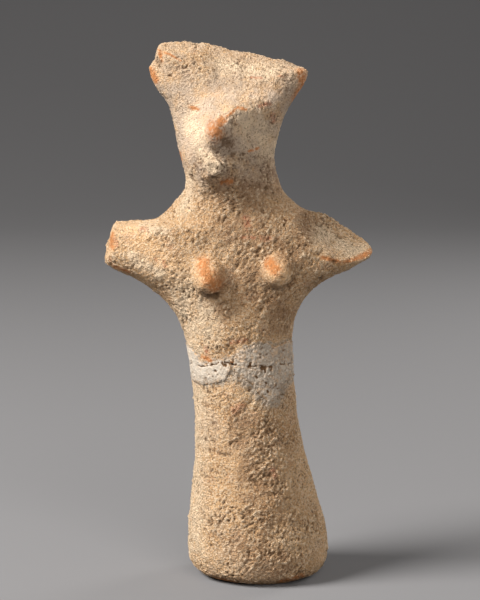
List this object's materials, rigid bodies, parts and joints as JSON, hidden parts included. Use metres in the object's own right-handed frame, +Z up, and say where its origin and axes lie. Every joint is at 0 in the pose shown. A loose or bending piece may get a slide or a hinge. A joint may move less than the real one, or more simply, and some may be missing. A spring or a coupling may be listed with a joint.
{
  "type": "terracotta figurine",
  "caption": "Hand-modelled solid terracotta female figurine with a flared foot, broken arm stubs, pinched face, worn flaring headdress and a plaster-filled waist join.",
  "frame": {"origin": "middle of the flat underside of the foot", "axes": "+Z up along the figure, the face and breasts towards -Y, the viewer's right at +X"},
  "size_m": [0.0712, 0.035, 0.1417],
  "materials": {
    "terracotta": "unglazed, gritty, worn",
    "plaster": "matte plaster"
  },
  "bodies": {
    "root": {"upper_figure": "terracotta", "lower_figure": "terracotta", "join_fill": "plaster"}
  },
  "joints": []
}
